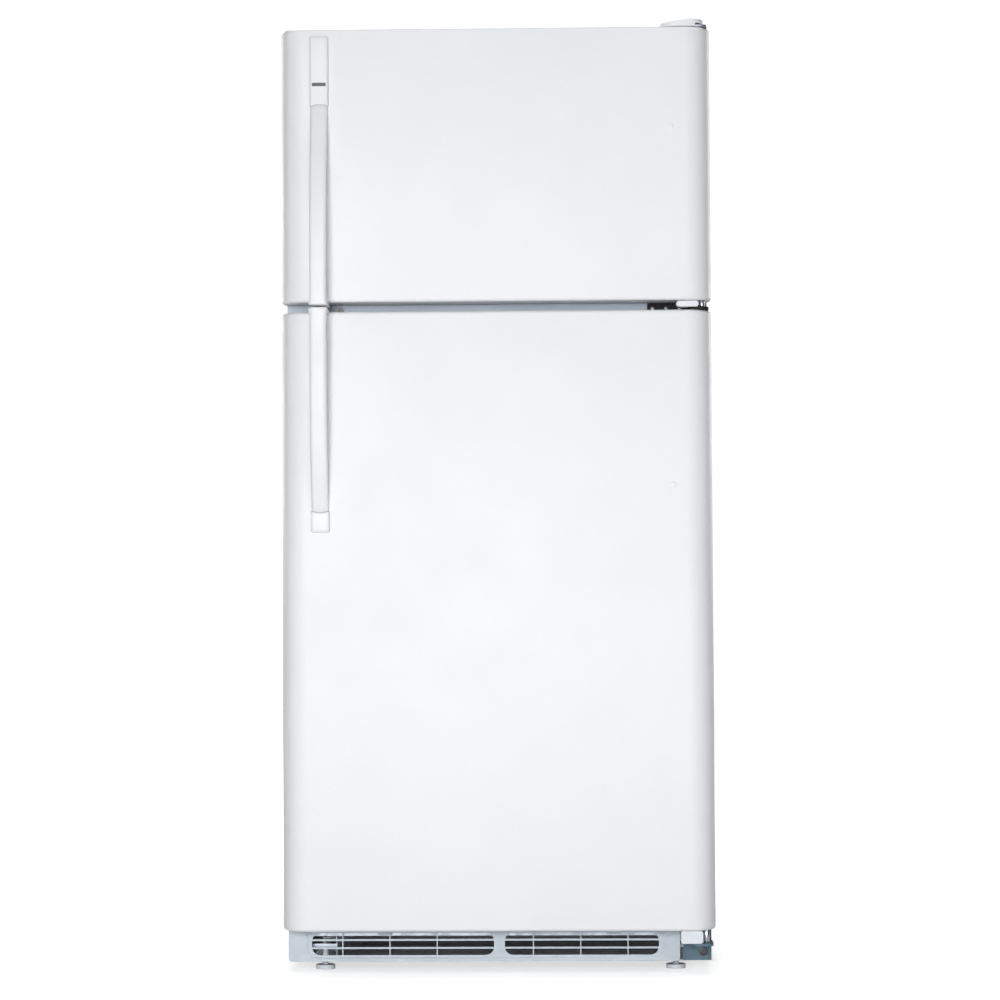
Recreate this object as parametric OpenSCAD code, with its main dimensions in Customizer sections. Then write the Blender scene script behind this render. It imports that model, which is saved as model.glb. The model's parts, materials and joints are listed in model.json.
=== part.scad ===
// Top freezer refrigerator, standing on the floor at z = 0.
// X runs to the right, Y to the back and Z up; the doors face -Y.

/* [Cabinet] */
// Width of the cabinet across its side panels
cab_w = 742; // [736:1:748]
// Depth of the cabinet from its front flange to its back panel
cab_d = 640; // [630:1:660]
// Height of the cabinet's top above the floor
cab_top = 1653; // [1640:1:1680]
// Height of the underside of the insulated box
cab_floor = 62; // [62:1:64]
// Lowest edge of the side panels
side_bottom = 25; // [22:1:30]
// Thickness of the side walls, from the panel to the liner
wall = 45; // [42:1:48]
// Width of the steel flange around the front opening
flange = 29; // [27:1:31]
// Height of the middle of the gap between the two doors
split_z = 1164.5; // [1160:0.5:1180]
// Thickness of the bent steel sheets
steel_t = 1.5; // [1.2:0.1:1.8]
// Thickness of the plastic liners
liner_t = 3; // [2:0.5:3]

/* [Doors] */
// Width of both doors
door_w = 755; // [750:1:758]
// Thickness of the door body
door_t = 60; // [56:1:64]
// Gap between the two doors
door_gap = 17; // [17:0.5:20]
// Height of the lower door's bottom edge
door_bottom = 77; // [76:1:80]
// Radius of the doors' upright front edges
edge_r = 45; // [24:1:48]
// Radius of the doors' corners, seen from the front
corner_r = 7; // [4:1:10]
// Thickness of the magnetic gasket
gasket_t = 12; // [11:0.5:14]

/* [Handles] */
// Width of both handles
handle_w = 33; // [28:1:38]
// Distance of the handles' middle from the cabinet's middle
handle_x = 307; // [300:1:315]
// How far the handles stand out from the door face
handle_out = 50; // [45:1:55]
// Thickness of the bow of a handle
handle_t = 13; // [10:1:15]
// Length of the bowed stretch of each handle
bow_len = 352; // [320:2:380]
// Length of the flat trim above the upper bow
upper_trim = 124; // [100:2:128]
// Length of the flat trim below the lower bow
lower_trim = 38; // [30:1:60]

/* [Hinges] */
// Distance of the hinge line from the doors' right edge
pin_inset = 17; // [17:0.5:18]
// Distance of the hinge line behind the door face
pin_back = 22; // [21:0.5:23]
// Radius of the hinge pins
pin_r = 5; // [4:0.5:5]
// Radial clearance of all running fits
fit = 0.08; // [0.02:0.01:0.1]

/* [Interior] */
// Heights of the undersides of the two glass shelves
shelf_z = [610, 850]; // two heights between 560 and 900
// Height of the wire shelf in the freezer
wire_shelf_z = 1408; // [1380:2:1440]
// Height of the underside of the cover over the crisper drawers
crisper_top = 380; // [370:2:390]
// Depth of the door bins in the lower door
bin_d = 92; // [80:2:94]
// Depth of the door bins in the freezer door
freezer_bin_d = 70; // [60:2:74]

/* [Base] */
// Depth of the machine space behind the crisper drawers
machine_d = 226; // [220:1:230]
// Height of the ceiling of the machine space
machine_top = 262; // [255:1:265]
// Radius of the rear rollers
roller_r = 20; // [18:1:20]
// Radius of the feet of the front legs
foot_r = 17; // [14:1:18]

/* [Hidden] */
$fn = 48;

white = [0.93, 0.94, 0.95];
inner_white = [0.88, 0.90, 0.92];
grey = [0.60, 0.65, 0.70];
black = [0.10, 0.10, 0.11];
nylon = [0.85, 0.88, 0.90];

// Places along Y, from the front of the handles to the wall spacers.
spacer_t = 10;
depth = handle_out + door_t + gasket_t + cab_d + spacer_t;
y_face = -depth / 2 + handle_out;
y_door = y_face + door_t;
y_cab = y_door + gasket_t;
y_back = y_cab + cab_d;
y_pin = y_face + pin_back;
x_pin = door_w / 2 - pin_inset;

// Half widths of the cabinet, its steel opening and its liner opening.
cw = cab_w / 2;
ow = cw - flange;
lw = cw - wall;
hw = door_w / 2;

// Heights of the doors and of the two openings.
fridge_top = split_z - door_gap / 2;
freezer_bottom = split_z + door_gap / 2;
freezer_top = cab_top - 1;
lip = 4;
gasket_w = 16;
gasket_inset = 12;
seal = gasket_inset + gasket_w + 4;
fridge_z = [cab_floor + 50, fridge_top - seal];
freezer_z = [freezer_bottom + seal, freezer_top - seal];
gap_bottom = fridge_z[1] + lip;
gap_top = freezer_z[0] - lip;

// The machine space and the step that it makes in the fridge liner.
y_machine = y_back - machine_d;
step_foam = 35;
step_y = y_machine - steel_t - step_foam - liner_t;
step_z = machine_top + steel_t + step_foam + liner_t;
y_liner = y_back - 49;

// Door furniture.
cap_t = 12;
dike_out = lw - 14;
dike_in = dike_out - 22;
dike_d = 74;
bin_wall = 2.5;
crisper_front = y_cab + 104;
crisper_back = step_y - 5;

module box(x0, x1, y0, y1, z0, z1)
    translate([x0, y0, z0]) cube([x1 - x0, y1 - y0, z1 - z0]);

// A flat outline in Y and Z, drawn out along X.
module along_x(x0, x1)
    translate([x0, 0, 0]) rotate([90, 0, 90]) linear_extrude(x1 - x0) children();

// A flat outline in X and Z, drawn out along Y.
module along_y(y0, y1)
    translate([0, y1, 0]) rotate([90, 0, 0]) linear_extrude(y1 - y0) children();

module rod_x(x0, x1, y, z, r)
    translate([x0, y, z]) rotate([0, 90, 0]) cylinder(r = r, h = x1 - x0);

module rod_y(y0, y1, x, z, r)
    translate([x, y1, z]) rotate([90, 0, 0]) cylinder(r = r, h = y1 - y0);

module rod_z(z0, z1, x, y, r)
    translate([x, y, z0]) cylinder(r = r, h = z1 - z0);

// A rectangle with rounded corners, made of circles and squares.
module round_rect(x0, x1, y0, y1, r) {
    for (x = [x0 + r, x1 - r], y = [y0 + r, y1 - r]) translate([x, y]) circle(r);
    translate([x0 + r, y0]) square([x1 - x0 - 2 * r, y1 - y0]);
    translate([x0, y0 + r]) square([x1 - x0, y1 - y0 - 2 * r]);
}

// Cabinet ---------------------------------------------------------------

module cabinet_shell() {
    color(white) difference() {
        box(-cw, cw, y_cab, y_back - steel_t, side_bottom, cab_top);
        box(-cw + steel_t, cw - steel_t, y_cab + steel_t, y_back, side_bottom - 1,
            cab_top - steel_t);
        box(-ow, ow, y_cab - 1, y_cab + steel_t + 1, side_bottom - 1, cab_top - flange);
    }
}

module back_panel() {
    color(grey) box(-cw, cw, y_back - steel_t, y_back, machine_top, cab_top);
}

module base_deck() {
    inner = cw - steel_t;
    color(grey) {
        along_x(-inner, inner) polygon([
            [y_cab + steel_t, cab_floor], [y_machine, cab_floor],
            [y_machine, machine_top], [y_back - steel_t, machine_top],
            [y_back - steel_t, machine_top + steel_t],
            [y_machine - steel_t, machine_top + steel_t],
            [y_machine - steel_t, cab_floor + steel_t],
            [y_cab + steel_t, cab_floor + steel_t]
        ]);
        box(-ow, ow, y_cab, y_cab + steel_t, cab_floor, fridge_z[0] - lip);
    }
}

// Room of the fridge compartment, grown by g on every closed side.
module fridge_room(g, y_front)
    along_x(-lw - g, lw + g) polygon([
        [y_front, fridge_z[0] - g], [step_y + g, fridge_z[0] - g],
        [step_y + g, step_z - g], [y_liner + g, step_z - g],
        [y_liner + g, fridge_z[1] + g], [y_front, fridge_z[1] + g]
    ]);

module freezer_room(g, y_front)
    box(-lw - g, lw + g, y_front, y_liner + g, freezer_z[0] - g, freezer_z[1] + g);

// Slabs of foam, each a plain block, with a fine seam between neighbours.
seam = 0.2;

module foam_insulation() {
    out = cw - steel_t;
    in = lw + liner_t;
    front = y_cab + steel_t;
    back = y_back - steel_t;
    floor_z = cab_floor + steel_t;
    deck_y = y_machine - steel_t;
    deck_z = machine_top + steel_t;
    w = in - seam;
    rear = y_liner + liner_t;
    color("khaki") {
        for (s = [-1, 1]) {
            x0 = s < 0 ? -out : in;
            x1 = s < 0 ? -in : out;
            box(x0, x1, front, deck_y, floor_z, deck_z - seam);
            box(x0, x1, front, back, deck_z, cab_top - steel_t);
        }
        box(-w, w, front, deck_y, floor_z, fridge_z[0] - liner_t);
        box(-w, w, step_y + liner_t, deck_y, fridge_z[0] - liner_t + seam, deck_z - seam);
        box(-w, w, step_y + liner_t, back, deck_z, step_z - liner_t);
        box(-w, w, rear, back, step_z - liner_t + seam, fridge_z[1] + liner_t);
        box(-w, w, front, back, fridge_z[1] + liner_t + seam, freezer_z[0] - liner_t);
        box(-w, w, rear, back, freezer_z[0] - liner_t + seam, freezer_z[1] + liner_t);
        box(-w, w, front, back, freezer_z[1] + liner_t + seam, cab_top - steel_t);
    }
}

module liner_lip(z)
    box(-ow, ow, y_cab, y_cab + steel_t, z[0] - lip, z[1] + lip);

// Ledge along both side walls that carries a shelf.
module ledges(z, y1)
    for (s = [-1, 1]) translate([s * (lw - 4), 0, 0])
        box(-4.2, 4.2, y_cab + 124, y1, z - 8, z);

module freezer_liner() {
    color(inner_white) {
        difference() {
            union() {
                freezer_room(liner_t, y_cab);
                liner_lip(freezer_z);
            }
            freezer_room(0, y_cab - 1);
        }
        ledges(wire_shelf_z, 240);
    }
}

// The light switch hangs from the ceiling, over the door's dikes.
switch_x = 200;
switch_r = 2.5;
switch_z = fridge_z[1] - 4.5;
switch_y = [y_cab + 24, y_cab + 49];

module fridge_liner() {
    color(inner_white) difference() {
        union() {
            difference() {
                union() {
                    fridge_room(liner_t, y_cab);
                    liner_lip(fridge_z);
                }
                fridge_room(0, y_cab - 1);
            }
            for (z = shelf_z) ledges(z, 280);
            ledges(crisper_top, 280);
            box(switch_x - 6, switch_x + 6, switch_y[0], switch_y[1], fridge_z[1] - 9,
                fridge_z[1] + 1);
        }
        rod_y(switch_y[0] - 1, switch_y[1] + 1, switch_x, switch_z, switch_r + fit);
    }
}

plug_x = -276;

module mullion_rail() {
    color(grey) difference() {
        box(-ow, ow, y_cab, y_cab + steel_t, gap_bottom, gap_top);
        rod_y(y_cab - 1, y_cab + steel_t + 1, plug_x, split_z, 3.6);
    }
}

module hole_plugs() {
    color(grey) {
        rod_y(y_cab - 1.6, y_cab, plug_x, split_z, 5.2);
        rod_y(y_cab - 1, y_cab + steel_t, plug_x, split_z, 3.5);
    }
}

// Grille in front of the machine space: two rounded openings crossed by bars.
kick_y = y_cab - 8;
kick_t = 6;
kick_z = [18, 80];
kick_x = [-cw, 316];
grille_x = [-330, -10, 9, 279];
slot_z = 29;
slot_pitch = 14.1;
slot_h = 10.8;

module kick_plate() {
    color(white) {
        difference() {
            along_y(kick_y, kick_y + kick_t)
                round_rect(kick_x[0], kick_x[1], kick_z[0], kick_z[1], 7);
            along_y(kick_y - 1, kick_y + 1.5)
                round_rect(grille_x[0] - 8, grille_x[3] + 8, slot_z - 4, kick_z[1] - 4, 18);
            for (k = [0, 2]) along_y(kick_y - 1, kick_y + kick_t + 1) intersection() {
                round_rect(grille_x[k], grille_x[k + 1], slot_z,
                    slot_z + 2 * slot_pitch + slot_h, 15);
                union() for (i = [0:2])
                    translate([grille_x[k] - 1, slot_z + i * slot_pitch])
                        square([grille_x[k + 1] - grille_x[k] + 2, slot_h]);
            }
        }
        for (x = [-276, -193, -110, 59, 142, 225])
            box(x - 1, x + 1, kick_y + 3, kick_y + kick_t, slot_z - 2,
                slot_z + 3 * slot_pitch);
        for (x = [-200, 0, 200])
            box(x - 12, x + 12, kick_y + kick_t, y_cab, cab_floor + 2, kick_z[1] - 6);
    }
}

// Hinges ----------------------------------------------------------------

plate_t = 4;
tongue_r = 12;

// Flat tongue from the cabinet's front to around the hinge line.
module tongue(z, y1) {
    rod_z(z, z + plate_t, x_pin, y_pin, tongue_r);
    box(x_pin - 26, x_pin + tongue_r, y_pin, y1, z, z + plate_t);
    rod_z(z, z + plate_t, x_pin - 14, y_pin, tongue_r);
    box(x_pin - 14, x_pin, y_pin - tongue_r, y_pin + 1, z, z + plate_t);
}

hinge_plate_x = [303, 357];
hinge_plate_y = [y_cab + 12, y_cab + 66];

module top_hinge() {
    color(grey) {
        difference() {
            union() {
                tongue(cab_top, y_cab + 50);
                box(hinge_plate_x[0], hinge_plate_x[1], hinge_plate_y[0], hinge_plate_y[1],
                    cab_top, cab_top + plate_t);
            }
            for (x = [hinge_plate_x[0] + 8, hinge_plate_x[1] - 10],
                    y = [hinge_plate_y[0] + 12, hinge_plate_y[1] - 10])
                rod_z(cab_top - 1, cab_top + plate_t + 1, x, y, 3);
        }
        rod_z(freezer_top - 10, cab_top + plate_t, x_pin, y_pin, pin_r);
    }
}

cover_x = [290, 366];
cover_r = 24;
cover_low = 6.5;
cover_high = 13;

// Wedge with rounded upright corners, shrunk by g at its walls and its top.
module cover_block(g, z0)
    intersection() {
        along_y(y_pin - 18 + g, y_cab + 76 - g) polygon([
            [cover_x[0] + g, z0], [cover_x[1] - g, z0],
            [cover_x[1] - g, cab_top + cover_high - g],
            [cover_x[1] - 24, cab_top + cover_high - g],
            [cover_x[0] + g, cab_top + cover_low - g]
        ]);
        translate([0, 0, cab_top - 2]) linear_extrude(cover_high + 4)
            round_rect(cover_x[0] + g, cover_x[1] - g, y_pin - 18 + g, y_cab + 76 - g,
                cover_r - g);
    }

// Cover over the top hinge, open at the right where the hinge tongue comes out.
module top_hinge_cover() {
    color(white) difference() {
        cover_block(0, cab_top + 0.2);
        cover_block(2, cab_top - 1);
        box(cover_x[1] - cover_r - 8, cover_x[1] + 8, y_pin - 16, y_cab + 74,
            cab_top - 1, cab_top + 6);
    }
}

center_z = fridge_top + 1.5;

module center_hinge() {
    color(black) {
        difference() {
            along_y(y_cab - 3, y_cab)
                round_rect(266, cw, split_z - 11, split_z + 11, 5);
            for (x = [276, 300, 324])
                rod_y(y_cab - 4, y_cab + 1, x, split_z, 3);
        }
        tongue(center_z, y_cab - 2);
        rod_z(fridge_top - 10, freezer_bottom + 10, x_pin, y_pin, pin_r);
    }
}

bottom_z = 50;

module bottom_hinge() {
    color(grey) {
        difference() {
            box(321, cw, y_cab - 3, y_cab, 19, door_bottom - 2);
            rod_y(y_cab - 4, y_cab + 1, 357, 34, 8.4);
        }
        tongue(bottom_z, y_cab - 2);
        rod_z(bottom_z, door_bottom + 10, x_pin, y_pin, pin_r);
    }
}

// Nylon cam beside a hinge pin, which lifts and closes the door.
module closer(z0, z1) {
    x0 = x_pin - 45;
    x1 = x_pin - pin_r - 1;
    translate([0, y_pin - 12, 0]) along_y(0, 26) difference() {
        round_rect(x0, x1, z0, z1, min(5, (z1 - z0) / 2 - 0.5));
    }
}

module hinge_closers() {
    color(nylon) {
        closer(center_z + plate_t, freezer_bottom - 0.5);
        closer(bottom_z + plate_t, door_bottom - 0.5);
    }
}

// Machine space ---------------------------------------------------------

rail_x = 310;
rail_hw = 23;
rail_t = 2;
pan_z = 44;
axle_y = y_back - 41;
leg_y = y_cab + 39;

module rail(s) {
    x0 = s * rail_x - rail_hw;
    x1 = s * rail_x + rail_hw;
    difference() {
        union() {
            box(x0, x1, y_cab + 14, y_back - 11, 22, cab_floor);
            box(x0, x1, axle_y - 15, axle_y + 15, 11, cab_floor);
        }
        box(x0 + rail_t, x1 - rail_t, y_cab, y_back, 0, cab_floor - rail_t);
    }
    rod_x(x0 + 1, x1 - 1, axle_y, roller_r, 4);
    difference() {
        box(x0 + 1, x1 - 1, leg_y - 16, leg_y + 16, 38, 46);
        rod_z(37, 47, s * rail_x, leg_y, 5 + fit);
    }
}

module roller_rails() {
    color(grey) for (s = [-1, 1]) rail(s);
}

module rear_roller(s) {
    color(black) difference() {
        union() {
            rod_x(s * rail_x - 11, s * rail_x + 11, axle_y, roller_r, roller_r);
            rod_x(s * rail_x - 18, s * rail_x + 18, axle_y, roller_r, 8);
        }
        rod_x(s * rail_x - 19, s * rail_x + 19, axle_y, roller_r, 4 + fit);
    }
}
module rear_roller_left() rear_roller(-1);
module rear_roller_right() rear_roller(1);

module front_leg(s) {
    color(black) {
        rod_z(0, 8, s * rail_x, leg_y, foot_r);
        rod_z(8, 56, s * rail_x, leg_y, 5);
    }
}
module front_leg_left() front_leg(-1);
module front_leg_right() front_leg(1);

module compressor_pan() {
    inner = rail_x - rail_hw;
    color(grey) {
        box(-inner, inner, y_machine + 2, y_back - 4, pan_z, pan_z + 2);
        for (y = [y_machine + 2, y_back - 6])
            box(-inner, inner, y, y + 2, pan_z, pan_z + 12);
    }
}

machine_y = (y_machine + y_back) / 2;

module compressor() {
    x = 195;
    color(black) {
        rod_z(72, 150, x, machine_y, 78);
        translate([x, machine_y, 150]) sphere(r = 78);
        box(x - 82, x + 82, machine_y - 66, machine_y + 66, 62, 67);
        for (dx = [-70, 70], dy = [-54, 54])
            rod_z(pan_z + 2, 62, x + dx, machine_y + dy, 9);
    }
}

// Block of thin fins with straight tubes running through it along X.
module finned_coil(x0, x1, y0, y1, z0, z1, fins, rows, cols) {
    for (i = [0:fins - 1]) {
        x = x0 + 8 + i * (x1 - x0 - 17) / (fins - 1);
        box(x, x + 1, y0, y1, z0, z1);
    }
    for (r = [0:rows - 1], c = [0:cols - 1])
        rod_x(x0, x1, y0 + (c + 0.5) * (y1 - y0) / cols,
            z0 + (r + 0.5) * (z1 - z0) / rows, 4);
}

module condenser_coil() {
    color(black) finned_coil(-272, -116, machine_y - 80, machine_y + 80, 63, 222, 20, 4, 3);
}

module drain_pan() {
    color(black) difference() {
        box(-275, -113, machine_y - 88, machine_y + 88, pan_z + 2, 63);
        box(-273, -115, machine_y - 86, machine_y + 86, pan_z + 4, 64);
    }
}

fan_z = 150;
fan_x = -94;

module condenser_fan_motor() {
    color(grey) {
        difference() {
            box(fan_x - 6, fan_x - 3, y_machine + 5, y_back - 7, pan_z + 2, 256);
            rod_x(fan_x - 7, fan_x - 2, machine_y, fan_z, 72);
        }
        rod_x(fan_x + 28, fan_x + 70, machine_y, fan_z, 30);
        rod_x(fan_x + 4, fan_x + 29, machine_y, fan_z, 3);
        box(fan_x + 34, fan_x + 60, machine_y - 14, machine_y + 14, pan_z + 2, fan_z - 20);
        box(fan_x - 4, fan_x + 60, machine_y - 14, machine_y + 14, pan_z + 2, pan_z + 5);
    }
}

// Hub and blades of a fan turning about Z, from z = 0 to h.
module fan_blades(r, hub, h, blades) {
    difference() {
        union() {
            cylinder(r = hub, h = h);
            for (i = [0:blades - 1]) rotate(i * 360 / blades)
                translate([hub - 3, 0, h / 2]) rotate([28, 0, 0])
                    translate([0, -h * 0.8, -0.8]) cube([r - hub - 4, h * 1.6, 1.6]);
        }
        translate([0, 0, -1]) cylinder(r = 3 + fit, h = h + 2);
    }
}

module condenser_fan_blade() {
    color(black) translate([fan_x + 6, machine_y, fan_z]) rotate([0, 90, 0])
        fan_blades(66, 16, 18, 5);
}

module rear_access_cover() {
    color("tan") difference() {
        union() {
            box(-cw, cw, y_back - steel_t, y_back, 40, machine_top);
            rod_y(y_back - steel_t, y_back + 8, 300, 90, 11);
        }
        for (x = [-300:24:-108], k = [0, 1])
            box(x, x + 8, y_back - 3, y_back + 1, 70 + k * 84, 140 + k * 84);
        for (x = [60:24:252])
            box(x, x + 8, y_back - 3, y_back + 1, 140, 224);
        rod_y(y_back - 3, y_back + 9, 300, 90, 5);
    }
}

module wall_spacers() {
    color(grey) for (s = [-1, 1]) translate([s * 315, 0, 0])
        box(-15, 15, y_back, y_back + spacer_t, cab_top - 80, cab_top - 50);
}

// Freezer compartment ---------------------------------------------------

cover_y = y_liner - 65;
evap_fan_z = freezer_z[1] - 92;

module evaporator_cover() {
    color(inner_white) difference() {
        box(-lw + 0.4, lw - 0.4, cover_y, cover_y + 3, freezer_z[0] + 0.4,
            freezer_z[1] - 0.4);
        rod_y(cover_y - 1, cover_y + 4, 0, evap_fan_z, 54);
        for (x = [-280:40:240])
            box(x, x + 26, cover_y - 1, cover_y + 4, freezer_z[0] + 14, freezer_z[0] + 22);
    }
}

module evaporator_coil() {
    color("silver") finned_coil(-250, 250, cover_y + 12, y_liner - 6, freezer_z[0] + 24,
        freezer_z[0] + 200, 26, 4, 2);
}

module evaporator_fan_motor() {
    color(grey) {
        rod_y(cover_y + 34, y_liner, 0, evap_fan_z, 24);
        rod_y(cover_y + 10, cover_y + 35, 0, evap_fan_z, 3);
        box(-70, 70, y_liner - 3, y_liner, evap_fan_z - 10, evap_fan_z + 10);
    }
}

module evaporator_fan_blade() {
    color(black) translate([0, cover_y + 27, evap_fan_z]) rotate([90, 0, 0])
        fan_blades(48, 12, 14, 4);
}

module freezer_shelf() {
    y0 = y_cab + 116;
    y1 = 250;
    color("white") {
        for (i = [-10:10]) rod_y(y0, y1, i * 30, wire_shelf_z + 3, 2);
        for (y = [y0, (y0 + y1) / 2, y1]) rod_x(-lw + 1, lw - 1, y, wire_shelf_z + 3, 3);
    }
}

// Fridge compartment ----------------------------------------------------

shelf_front = y_cab + 114;
shelf_edge = 16;

// Plastic rim of a glass shelf, with a pocket that the pane lies in.
module shelf_rim(z, y0, y1) {
    w = lw - 1;
    difference() {
        box(-w, w, y0, y1, z, z + 14);
        box(-w + shelf_edge, w - shelf_edge, y0 + shelf_edge, y1 - shelf_edge, z - 1, z + 15);
        box(-w + shelf_edge - 5, w - shelf_edge + 5, y0 + shelf_edge - 5,
            y1 - shelf_edge + 5, z + 8, z + 15);
    }
}

module pane(z, y0, y1) {
    w = lw - 1 - shelf_edge + 4.8;
    box(-w, w, y0 + shelf_edge - 4.8, y1 - shelf_edge + 4.8, z + 8, z + 12);
}

module shelf_frames() {
    color(inner_white) for (z = shelf_z) shelf_rim(z, shelf_front, 290);
}

module shelf_glass() {
    color([0.7, 0.85, 0.85, 0.4]) {
        for (z = shelf_z) pane(z, shelf_front, 290);
        pane(crisper_top, crisper_front, y_liner - 1);
    }
}

module crisper_cover() {
    color(inner_white) {
        shelf_rim(crisper_top, crisper_front, y_liner - 1);
        box(-3, 3, crisper_front + 8, crisper_back, fridge_z[0], crisper_top - seam);
    }
}

module crisper(x0) {
    x1 = x0 + lw - 12;
    z0 = fridge_z[0] + 0.4;
    z1 = crisper_top - 10;
    color([0.85, 0.92, 0.95, 0.6]) {
        difference() {
            box(x0, x1, crisper_front, crisper_back, z0, z1);
            box(x0 + bin_wall, x1 - bin_wall, crisper_front + 4, crisper_back - bin_wall,
                z0 + bin_wall, z1 + 1);
        }
        box(x0 + 30, x1 - 30, crisper_front - 10, crisper_front + 1, z1 - 34, z1 - 31);
        box(x0 + 30, x1 - 30, crisper_front - 10, crisper_front - 7, z1 - 42, z1 - 31);
    }
}
module crisper_left() crisper(-lw + 6);
module crisper_right() crisper(6);

module humidity_slider(s) {
    color(grey) box(s * 160 - 18, s * 160 + 18, crisper_front - 6, crisper_front - 0.3,
        crisper_top + 2, crisper_top + 12);
}
module humidity_slider_left() humidity_slider(-1);
module humidity_slider_right() humidity_slider(1);

control_y = [y_cab + 204, y_cab + 394];
control_z = fridge_z[1] - 52;
knob_x = 80;

module control_housing() {
    color(inner_white) difference() {
        box(-160, 160, control_y[0], control_y[1], control_z, fridge_z[1]);
        box(-157, 157, control_y[0] + 3, control_y[1] - 3, control_z + 3, fridge_z[1] + 1);
        for (s = [-1, 1])
            rod_y(control_y[0] - 1, control_y[0] + 4, s * knob_x, control_z + 26, 3 + fit);
    }
}

module knob(s) {
    color(white) {
        rod_y(control_y[0] - 16, control_y[0] - 0.5, s * knob_x, control_z + 26, 20);
        translate([s * knob_x, 0, control_z + 26])
            box(-3, 3, control_y[0] - 22, control_y[0] - 15, -19, 19);
        rod_y(control_y[0] - 1, control_y[0] + 14, s * knob_x, control_z + 26, 3);
    }
}
module fridge_knob() knob(-1);
module freezer_knob() knob(1);

module lamp_shield() {
    color([0.95, 0.95, 0.9, 0.6]) difference() {
        box(-70, 70, control_y[1] + 2, y_liner - 30, fridge_z[1] - 34, fridge_z[1]);
        box(-68, 68, control_y[1] + 4, y_liner - 32, fridge_z[1] - 32, fridge_z[1] + 1);
    }
}

module switch_plunger() {
    color(white) rod_y(y_door + 0.4, switch_y[1] + 2, switch_x, switch_z, switch_r);
}

// Doors -----------------------------------------------------------------

// Section of a door through its height, shrunk by g all round but the back.
module door_section(g) {
    x = hw - edge_r;
    intersection() {
        union() {
            for (s = [-1, 1]) translate([s * x, y_face + edge_r]) circle(edge_r - g);
            translate([-x, y_face + g]) square([2 * x, door_t - g]);
            translate([-hw + g, y_face + edge_r])
                square([2 * (hw - g), door_t - edge_r]);
        }
        translate([-hw, y_face]) square([door_w, door_t]);
    }
}

// A door's outer shape between z0 and z1, shrunk by g at its front and sides.
module door_block(z0, z1, g)
    intersection() {
        translate([0, 0, z0]) linear_extrude(z1 - z0) door_section(g);
        along_y(y_face - 1, y_door + 1) round_rect(-hw, hw, z0, z1, corner_r);
    }

module door_skin(z0, z1)
    color(white) difference() {
        door_block(z0, z1, 0);
        translate([0, 0, z0 - 1]) linear_extrude(z1 - z0 + 2) union() {
            door_section(steel_t);
            translate([-hw + steel_t, y_door - 5]) square([door_w - 2 * steel_t, 10]);
        }
    }

module door_foam(z0, z1)
    color("khaki") intersection() {
        translate([0, 0, z0 + cap_t]) linear_extrude(z1 - z0 - 2 * cap_t)
            door_section(steel_t);
        box(-hw, hw, y_face, y_door - liner_t, z0, z1);
    }

// Both end caps of a door, with the pin bushings at the hinge line.
module door_caps(z0, z1)
    color(white) difference() {
        intersection() {
            union() for (z = [z0, z1 - cap_t])
                translate([0, 0, z]) linear_extrude(cap_t) door_section(steel_t);
            along_y(y_face - 1, y_door + 1) round_rect(-hw, hw, z0, z1, corner_r);
        }
        rod_z(z0 - 1, z0 + cap_t + 1, x_pin, y_pin, pin_r + fit);
        rod_z(z1 - cap_t - 1, z1 + 1, x_pin, y_pin, pin_r + fit);
    }

// Inner panel of a door: a sheet, two upright dikes and a bar over them.
module door_liner(z0, z1, dike_z0, dike_z1)
    color(inner_white) {
        box(-hw + steel_t, hw - steel_t, y_door - liner_t, y_door, z0 + cap_t, z1 - cap_t);
        difference() {
            box(-dike_out, dike_out, y_door + seam, y_door + dike_d, dike_z0, dike_z1);
            box(-dike_in, dike_in, y_door, y_door + dike_d + 1, dike_z0 - 1, dike_z1 - 14);
        }
    }

module door_gasket(z0, z1) {
    x = x_pin - 3;
    color(inner_white) difference() {
        along_y(y_door, y_cab - 0.4)
            round_rect(-x, x, z0 + gasket_inset, z1 - gasket_inset, 5);
        along_y(y_door - 1, y_cab)
            round_rect(-x + gasket_w, x - gasket_w, z0 + gasket_inset + gasket_w,
                z1 - gasket_inset - gasket_w, 3);
        along_y(y_door + 3, y_door + 6) difference() {
            round_rect(-x - 1, x + 1, z0 + gasket_inset - 1, z1 - gasket_inset + 1, 5);
            round_rect(-x + 3, x - 3, z0 + gasket_inset + 3, z1 - gasket_inset - 3, 3);
        }
    }
}

// A trough between the dikes of a door, open at the top and towards the door.
module door_bin(z, h, d) {
    x = dike_in - 0.5;
    difference() {
        box(-x, x, y_door + 0.5, y_door + d, z, z + h);
        box(-x + bin_wall, x - bin_wall, y_door, y_door + d - bin_wall, z + bin_wall,
            z + h + 1);
    }
}

// How far a handle's front stands out, at s from its seam (0) to its end (1).
function bow(s) = 8 + (handle_out - 8) * (1 - pow(1 - s, 3));
bow_steps = 24;

// Side view of a handle, with z = 0 at its end on the gap and z up to its trim.
module handle_outline(trim, tab) {
    polygon(concat(
        [[y_face, bow_len + trim], [y_face - 5, bow_len + trim],
            [y_face - 8, bow_len + trim - 6]],
        [for (i = [0:bow_steps]) let (s = i / bow_steps)
            [y_face - bow(s), bow_len * (1 - s)]],
        [[y_face - handle_out, 0], [y_face + 36, 0], [y_face + 36, tab],
            [y_face - handle_out + handle_t, tab]],
        [for (i = [bow_steps - 1:-1:3]) let (s = i / bow_steps)
            [y_face - bow(s) + handle_t, bow_len * (1 - s)]],
        [[y_face, bow_len * (1 - 1 / bow_steps)]]
    ));
}

upper_tab = 9;
lower_tab = 4;

module freezer_handle() {
    color(white) translate([0, 0, freezer_bottom - upper_tab])
        along_x(-handle_x - handle_w / 2, -handle_x + handle_w / 2)
            handle_outline(upper_trim, upper_tab);
}

module fridge_handle() {
    color(white) translate([0, 0, fridge_top + lower_tab]) mirror([0, 0, 1])
        along_x(-handle_x - handle_w / 2, -handle_x + handle_w / 2)
            handle_outline(lower_trim, lower_tab);
}

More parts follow.
